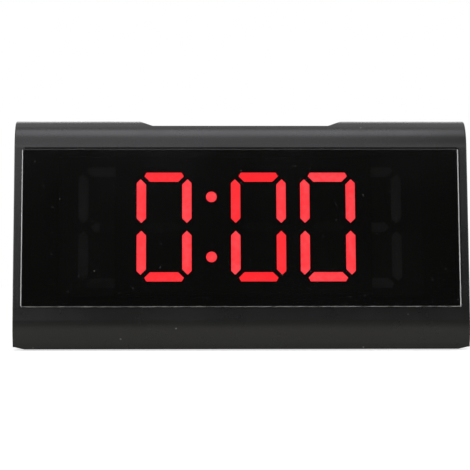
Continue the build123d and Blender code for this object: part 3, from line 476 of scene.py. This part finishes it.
def lit_strokes(name):
    """Red diffusers of the digits: paler along the middle of each stroke, some strokes deeper than others."""
    material, tree, shader, place = start_material(name)
    split = add_node(tree, "ShaderNodeSeparateXYZ", {"Vector": place})
    along = split.outputs["X"]
    across = math_node(tree, "SUBTRACT", along, by_digit(tree, along, DIGIT_PLACES))
    climb = climb_from(tree, split.outputs["Z"], lit_box)
    side = math_node(tree, "SUBTRACT", math_node(tree, "ABSOLUTE", across), (DIGIT_WIDTH - DIGIT_STROKE) / 2)
    end = math_node(tree, "SUBTRACT", math_node(tree, "ABSOLUTE", climb), (DIGIT_HEIGHT - DIGIT_STROKE) / 2)
    away = math_node(tree, "ABSOLUTE", math_node(tree, "MAXIMUM", side, end))
    core = spread(tree, away, 1.0, 0.0, 0.0, STROKE_FADE)
    falling = math_node(tree, "LESS_THAN", math_node(tree, "MULTIPLY", across, climb), 0.0)
    post = spread(tree, falling, 1.0, by_digit(tree, along, FALLING_PALENESS), 0.0, 1.0)
    level = math_node(tree, "GREATER_THAN", end, side)
    paleness = spread(tree, level, post, by_digit(tree, along, LEVEL_PALENESS), 0.0, 1.0)
    red_glow(tree, shader, place, math_node(tree, "MULTIPLY", core, paleness))
    return material


def lit_dots(name):
    """Red diffusers of the colon: paler at the middle of each dot."""
    material, tree, shader, place = start_material(name)
    split = add_node(tree, "ShaderNodeSeparateXYZ", {"Vector": place})
    radius = (colon_box[1][0] - colon_box[0][0]) / 2
    across = math_node(tree, "SUBTRACT", split.outputs["X"], colon_box[0][0] + radius)
    climb = math_node(tree, "ABSOLUTE", climb_from(tree, split.outputs["Z"], colon_box))
    reach = (colon_box[1][2] - colon_box[0][2]) / 2 / cos(FRONT_TILT) - radius
    rise = math_node(tree, "SUBTRACT", climb, reach)
    away = vector_value(tree, "LENGTH", flat_vector(tree, across, rise))
    red_glow(tree, shader, place, spread(tree, away, DOT_PALENESS, 0.0, 0.0, radius * DOT_FADE_SHARE))
    return material


def cell_wrap(name):
    """Plain wrapped cells: dark sleeve, a pale band at the nub end, bare steel at both ends."""
    material, tree, shader, place = start_material(name)
    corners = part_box("battery_cells")
    offset = offset_from(tree, place, (corners[0] + corners[1]) / 2)
    across = dot_product(tree, offset, (1.0, 0.0, 0.0))
    lower = math_node(tree, "LESS_THAN", dot_product(tree, offset, BACK_UP), 0.0)
    nubward = math_node(tree, "MULTIPLY", across, spread(tree, lower, -1.0, 1.0, 0.0, 1.0))
    band = line_mask(tree, math_node(tree, "SUBTRACT", CELL_HALF, nubward), 0.0, CELL_BAND, 1.0)
    bare = math_node(tree, "GREATER_THAN", math_node(tree, "ABSOLUTE", across), CELL_HALF - CELL_BARE)
    scuff = spread(tree, noise(tree, place, 200.0, detail=4.0), 0.0, 1.0)
    sleeve = blend_colour(tree, scuff, SLEEVE_DARK, SLEEVE_LIGHT)
    pale = blend_colour(tree, scuff, grey(0.3), grey(0.38))
    colour = blend_colour(tree, bare, blend_colour(tree, band, sleeve, pale), grey(0.6))
    tree.links.new(colour, shader.inputs["Base Color"])
    tree.links.new(bare, shader.inputs["Metallic"])
    tree.links.new(spread(tree, noise(tree, place, 300.0), 0.22, 0.36), shader.inputs["Roughness"])
    return material


def ribbed_ribbon(name):
    """Flat cable: fine parallel cores, one of them marked."""
    material, tree, shader, place = start_material(name)
    sockets = {"Vector": place, "Scale": 160.0, "Distortion": 0.0}
    cores = add_node(tree, "ShaderNodeTexWave", sockets, bands_direction="X").outputs["Fac"]
    across = add_node(tree, "ShaderNodeSeparateXYZ", {"Vector": place}).outputs["X"]
    marked = math_node(tree, "GREATER_THAN", across, MARKED_CORE)
    # Painted shade: the colour is darker in the grooves between the cores and paler on their crests.
    colour = blend_colour(tree, cores, grey(0.28), grey(0.45))
    tree.links.new(blend_colour(tree, marked, colour, CORE_RED), shader.inputs["Base Color"])
    shader.inputs["Roughness"].default_value = 0.5
    bump_from(tree, shader, cores, strength=0.5, depth=CORE_DEPTH)
    return material


# Materials of the solids

case_black = case_plastic("case_black")
cover_black = moulded_plastic(
    "cover_black", grey(0.017), grey(0.026), (0.5, 0.62), grain=1100.0, relief=0.5, dust=0.03)
key_black = moulded_plastic(
    "key_black", grey(0.03), grey(0.042), (0.34, 0.44), grain=1800.0, relief=0.15, dust=0.02)
rubber_black = moulded_plastic(
    "rubber_black", grey(0.02), grey(0.032), (0.75, 0.9), grain=700.0, relief=0.5)
mask_black = moulded_plastic(
    "mask_black", grey(0.003), grey(0.0045), (0.6, 0.75), grain=900.0, relief=0.3, gloss=0.3)
display_black = moulded_plastic(
    "display_black", grey(0.001), grey(0.0018), (0.55, 0.7), grain=900.0, gloss=0.2)
dark_diffuser = moulded_plastic(
    "dark_diffuser", (0.005, 0.004, 0.004, 1.0), (0.007, 0.005, 0.005, 1.0), (0.5, 0.6))
unlit_diffuser = blind_strokes("unlit_diffuser")
switch_grey = moulded_plastic(
    "switch_grey", grey(0.035), grey(0.055), (0.45, 0.6), grain=900.0, relief=0.2)
inlet_black = moulded_plastic(
    "inlet_black", grey(0.014), grey(0.022), (0.35, 0.5), grain=900.0, relief=0.2)
chip_black = moulded_plastic(
    "chip_black", grey(0.02), grey(0.03), (0.55, 0.7), grain=1500.0, relief=0.35)
chip_cream = moulded_plastic(
    "chip_cream", (0.6, 0.58, 0.46, 1.0), (0.72, 0.7, 0.58, 1.0), (0.3, 0.45), grain=900.0, relief=0.1)
sleeve_blue = moulded_plastic(
    "sleeve_blue", (0.015, 0.015, 0.03, 1.0), (0.022, 0.022, 0.045, 1.0), (0.22, 0.34))
screw_steel = plated_metal("screw_steel", grey(0.16), grey(0.24), (0.28, 0.46))
head_steel = screw_heads("head_steel")
frame_steel = plated_metal("frame_steel", grey(0.05), grey(0.08), (0.42, 0.58))
bright_nickel = plated_metal("bright_nickel", grey(0.55), grey(0.7), (0.14, 0.26))
contact_strip = plated_metal("contact_strip", (0.55, 0.53, 0.48, 1.0), (0.68, 0.66, 0.6, 1.0), (0.22, 0.38))
board_green = circuit_board("board_green")
lens_smoke = smoked_lens("lens_smoke")
lit_red = lit_strokes("lit_red")
lit_round = lit_dots("lit_round")
cell_sleeve = cell_wrap("cell_sleeve")
ribbon_grey = ribbed_ribbon("ribbon_grey")

looks = {
    "front_housing": case_black,
    "rear_cover": cover_black,
    "battery_door": cover_black,
    "lens": lens_smoke,
    "feet": rubber_black,
    "case_screws": head_steel,
    "board_screws": screw_steel,
    "control_board_screws": screw_steel,
    "snooze_board_screws": screw_steel,
    "display_mask": mask_black,
    "display_housing": display_black,
    "unlit_segments": unlit_diffuser,
    "lit_segments": lit_red,
    "colon_dots": lit_round,
    "dark_segments": dark_diffuser,
    "led_chips": chip_cream,
    "main_board": board_green,
    "control_board": board_green,
    "snooze_board": board_green,
    "driver_chip": chip_black,
    "crystal_can": bright_nickel,
    "capacitor": sleeve_blue,
    "snooze_bar": key_black,
    "snooze_plunger": switch_grey,
    "snooze_switch": switch_grey,
    "key_switches": switch_grey,
    "alarm_switch_body": frame_steel,
    "alarm_switch_knob": key_black,
    "power_inlet": inlet_black,
    "inlet_pin": bright_nickel,
    "buzzer": inlet_black,
    "battery_cells": cell_sleeve,
    "positive_contact": contact_strip,
    "negative_contact": contact_strip,
    "bridge_contact": contact_strip,
    "ribbon_cable": ribbon_grey,
}
for key in ("set", "up", "down", "alarm"):
    looks[key + "_button"] = key_black
    looks[key + "_plunger"] = switch_grey

for name, solid in frame["nodes"].items():
    solid.data.materials.clear()
    solid.data.materials.append(looks[name])


# Half-round ridges on flat faces: a dark ridge at the lens as painted shadow, and the signs on the rear keys

def on_face(face, across, climb, lift):
    """A point of a flat face: along it, up it and out of it, from its middle."""
    middle, side, up, out = face
    return middle + across * side + climb * up + lift * out


def half_round(shape, face, points, closed, width, height):
    """A ridge of half-round section along a path on a face."""
    rings = []
    last = len(points) - 1
    for place, point in enumerate(points):
        before = points[place - 1] if closed or place > 0 else point
        after = points[(place + 1) % len(points)] if closed or place < last else point
        along = (after - before).normalized()
        side = Vector((-along.y, along.x))
        ring = []
        for step in range(BEAD_STEPS + 1):
            turn = radians(180.0 * step / BEAD_STEPS)
            spot = point + side * (width / 2 * cos(turn))
            ring.append(shape.verts.new(on_face(face, spot.x, spot.y, height * sin(turn) - BEAD_ROOT)))
        rings.append(ring)
    followers = rings[1:] + rings[:1] if closed else rings[1:]
    for ring, following in zip(rings, followers):
        for step in range(BEAD_STEPS):
            shape.faces.new((ring[step], ring[step + 1], following[step + 1], following[step]))
        shape.faces.new((ring[BEAD_STEPS], ring[0], following[0], following[BEAD_STEPS]))
    if not closed:
        shape.faces.new(rings[0])
        shape.faces.new(reversed(rings[-1]))


def finish_piece(name, shape, look, body):
    """Makes an object of a shape, gives it its finish and sets it on its body."""
    bmesh.ops.recalc_face_normals(shape, faces=shape.faces)
    mesh = bpy.data.meshes.new(name)
    shape.to_mesh(mesh)
    shape.free()
    mesh.materials.append(look)
    piece = bpy.data.objects.new(name, mesh)
    bpy.context.collection.objects.link(piece)
    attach(piece, body)


def lens_path():
    """The line along the lens's top edge, round its corner and down its right edge."""
    inner_width = LENS_HALF_WIDTH - LENS_CORNER
    inner_height = LENS_HALF_HEIGHT - LENS_CORNER
    points = [(-inner_width, LENS_HALF_HEIGHT + BEAD_TOP_SHIFT)]
    for step in range(BEAD_STEPS + 1):
        turn = radians(90.0 * step / BEAD_STEPS)
        across = inner_width + (LENS_CORNER - BEAD_SIDE_SHIFT) * sin(turn)
        points.append((across, inner_height + (LENS_CORNER + BEAD_TOP_SHIFT) * cos(turn)))
    points.append((LENS_HALF_WIDTH - BEAD_SIDE_SHIFT, -inner_height))
    return [Vector(point) for point in points]


def rounded_path(corners):
    """A closed path through some corners in millimetres, each rounded off by a short curve."""
    corners = [Vector(corner) * MM for corner in corners]
    points = []
    for place, corner in enumerate(corners):
        before = corner + (corners[place - 1] - corner).normalized() * SIGN_CUT
        after = corner + (corners[(place + 1) % len(corners)] - corner).normalized() * SIGN_CUT
        for step in range(BEAD_STEPS + 1):
            share = step / BEAD_STEPS
            points.append(before.lerp(corner, share).lerp(corner.lerp(after, share), share))
    return points


def key_sign(key, closed_paths, open_paths):
    """A raised sign in the middle of a rear key's face, as seen from behind the clock."""
    rim = outer_rim(key + "_button", BACK_NORMAL)
    lows = Vector([min(corner[axis] for corner in rim) for axis in range(3)])
    highs = Vector([max(corner[axis] for corner in rim) for axis in range(3)])
    face = ((lows + highs) / 2, Vector((-1.0, 0.0, 0.0)), BACK_UP, BACK_NORMAL)
    shape = bmesh.new()
    for path in closed_paths:
        half_round(shape, face, path, True, SIGN_LINE, SIGN_RISE)
    for path in open_paths:
        half_round(shape, face, [Vector(point) * MM for point in path], False, SIGN_LINE, SIGN_RISE)
    finish_piece(key + "_sign", shape, sign_paint, key + "_key")


# Painted shadow: a dark half-round ridge along the lens's top and right edges stands in for the shadow of the
# gap around the lens.
shadow_line_black = moulded_plastic(
    "shadow_line_black", grey(0.0015), grey(0.003), (0.6, 0.8), grain=900.0, gloss=0.08)
front_face = (Vector(FRONT_POINT), Vector((1.0, 0.0, 0.0)), Vector(FRONT_UP), Vector(FRONT_NORMAL))
bead = bmesh.new()
half_round(bead, front_face, lens_path(), False, BEAD_WIDTH, BEAD_HEIGHT)
finish_piece("lens_shadow_line", bead, shadow_line_black, "case")

# Signs: a dial with two hands, an arrow up, an arrow down and a bell with its clapper, in millimetres
sign_paint = moulded_plastic(
    "sign_paint", grey(0.3), grey(0.38), (0.5, 0.65), grain=1800.0, relief=0.2, tone=300.0)
dial_turns = [radians(360.0 * step / DIAL_STEPS) for step in range(DIAL_STEPS)]
dial = [Vector((DIAL_RADIUS * cos(turn), DIAL_RADIUS * sin(turn))) for turn in dial_turns]
hands = [[(0.0, 0.0), (0.0, 0.95)], [(0.0, 0.0), (0.65, 0.0)]]
arrow = [(-1.5, -1.1), (1.5, -1.1), (0.0, 1.35)]
arrow_down = [(across, -climb) for across, climb in arrow]
bell_right = [(1.4, -0.8), (0.8, -0.1), (0.8, 0.9), (0.4, 1.45)]
bell_left = [(-across, climb) for across, climb in reversed(bell_right)]
bell = bell_right + bell_left
clapper = [(-0.35, -1.4), (0.35, -1.4)]
key_sign("set", [dial], hands)
key_sign("up", [rounded_path(arrow)], [])
key_sign("down", [rounded_path(arrow_down)], [])
key_sign("alarm", [rounded_path(bell)], [clapper])


# Floor

floor_mesh = bpy.data.meshes.new("floor")
floor_shape = bmesh.new()
bmesh.ops.create_grid(floor_shape, x_segments=1, y_segments=1, size=FLOOR_HALF)
floor_shape.to_mesh(floor_mesh)
floor_shape.free()
floor = bpy.data.objects.new("floor", floor_mesh)
bpy.context.collection.objects.link(floor)
floor_look = bpy.data.materials.new("floor_white")
floor_look.use_nodes = True
floor_tree = floor_look.node_tree
floor_tree.nodes.clear()
paper = add_node(floor_tree, "ShaderNodeBsdfDiffuse", {"Color": grey(FLOOR_TONE)})
bounce = add_node(floor_tree, "ShaderNodeBsdfDiffuse", {"Color": FLOOR_BOUNCE})
lift = add_node(floor_tree, "ShaderNodeEmission", {"Color": grey(1.0), "Strength": FLOOR_LIFT})
close = add_node(floor_tree, "ShaderNodeAddShader", {0: paper.outputs[0], 1: lift.outputs[0]})
clear = add_node(floor_tree, "ShaderNodeEmission", {"Color": grey(1.0), "Strength": 1.0})
floor_place = add_node(floor_tree, "ShaderNodeTexCoord").outputs["Object"]
far = spread(floor_tree, vector_value(floor_tree, "LENGTH", floor_place), 0.0, 1.0, *FLOOR_FADE)
shown = add_node(floor_tree, "ShaderNodeMixShader", {0: far, 1: close.outputs[0], 2: clear.outputs[0]})
sight = add_node(floor_tree, "ShaderNodeLightPath").outputs["Is Camera Ray"]
both = add_node(floor_tree, "ShaderNodeMixShader", {0: sight, 1: bounce.outputs[0], 2: shown.outputs[0]})
add_node(floor_tree, "ShaderNodeOutputMaterial", {"Surface": both.outputs[0]})
floor_mesh.materials.append(floor_look)


# Room: white where it is seen, dim as a light, and with shaded walls where it is mirrored

world = bpy.data.worlds.new("studio")
world.use_nodes = True
bpy.context.scene.world = world
sky = world.node_tree
sky.nodes.clear()
aim = add_node(sky, "ShaderNodeTexCoord").outputs["Generated"]
heading = add_node(sky, "ShaderNodeSeparateXYZ", {"Vector": aim})
sweep = spread(sky, heading.outputs["Y"], 0.0, SWEEP_LEVEL, *SWEEP_RISE)
front_wall = spread(sky, heading.outputs["Z"], LOW_FRONT_LEVEL, HIGH_FRONT_LEVEL, *FRONT_WALL_FALL)
walls = math_node(sky, "MAXIMUM", sweep, front_wall)
ray = add_node(sky, "ShaderNodeLightPath")
gloss = math_node(sky, "MAXIMUM", ray.outputs["Is Glossy Ray"], ray.outputs["Is Transmission Ray"])
room = add_node(sky, "ShaderNodeBackground", {"Color": grey(1.0), "Strength": ROOM_LEVEL})
behind = spread(sky, heading.outputs["Y"], 0.0, 1.0, *WALL_TURN)
wall_colour = blend_colour(sky, behind, WALL_TINT, grey(1.0))
mirrored = add_node(sky, "ShaderNodeBackground", {"Color": wall_colour, "Strength": walls})
white = add_node(sky, "ShaderNodeBackground", {"Color": grey(1.0), "Strength": 1.0})
by_gloss = add_node(sky, "ShaderNodeMixShader", {0: gloss, 1: room.outputs[0], 2: mirrored.outputs[0]})
seen = ray.outputs["Is Camera Ray"]
by_sight = add_node(sky, "ShaderNodeMixShader", {0: seen, 1: by_gloss.outputs[0], 2: white.outputs[0]})
add_node(sky, "ShaderNodeOutputWorld", {"Surface": by_sight.outputs[0]})


# Lamps

def turn_to(thing, target):
    """Turns a lamp or camera so that it faces a point."""
    thing.rotation_euler = (Vector(target) - Vector(thing.location)).to_track_quat("-Z", "Y").to_euler()


def soft_box(name, place, target, size, power, tint):
    """A rectangular lamp that faces a point."""
    lamp = bpy.data.lights.new(name, "AREA")
    lamp.shape = "RECTANGLE"
    lamp.size, lamp.size_y = size
    lamp.energy = power
    lamp.color = tint
    holder = bpy.data.objects.new(name, lamp)
    holder.location = place
    turn_to(holder, target)
    bpy.context.collection.objects.link(holder)


centre = (0.0, 0.0, 0.04)
left_centre = (-0.08, 0.0, 0.04)
left_end = (-0.16, 0.0, 0.04)
cool = (0.955, 0.955, 1.0)
plain = (1.0, 1.0, 1.0)

# Name, place, target, size, power and tint of each lamp
lamps = (
    ("key_box", (0.0, -0.085, 0.814), centre, (0.4, 0.34), KEY_POWER, cool),
    ("mid_box", (-0.16, -0.369, 0.5765), left_end, (0.6, 0.4), MID_POWER, cool),
    ("low_box", (0.0, -0.4375, 0.339), centre, (0.9, 0.08), LOW_POWER, cool),
    ("left_strip", (-0.19, -0.43, 0.265), left_centre, (0.08, 0.12), STRIP_POWER, cool),
    ("rear_top_box", (0.0, 0.275, 0.763), centre, (0.9, 0.33), REAR_TOP_POWER, plain),
    ("left_box", (-0.75, -0.25, 0.3), centre, (0.5, 0.5), SIDE_POWER, plain),
    ("right_box", (0.75, -0.25, 0.3), centre, (0.5, 0.5), SIDE_POWER, plain),
    ("back_box", (0.0, 0.85, 0.32), centre, (0.9, 0.4), BACK_POWER, plain),
)
for lamp in lamps:
    soft_box(*lamp)


# Camera

camera = bpy.data.cameras.new("camera")
camera.sensor_width = CAMERA_SENSOR
camera.lens = CAMERA_LENS
eye = bpy.data.objects.new("camera", camera)
eye.location = CAMERA_PLACE
turn_to(eye, CAMERA_TARGET)
bpy.context.collection.objects.link(eye)
bpy.context.scene.camera = eye
bpy.context.scene.view_settings.view_transform = "Standard"
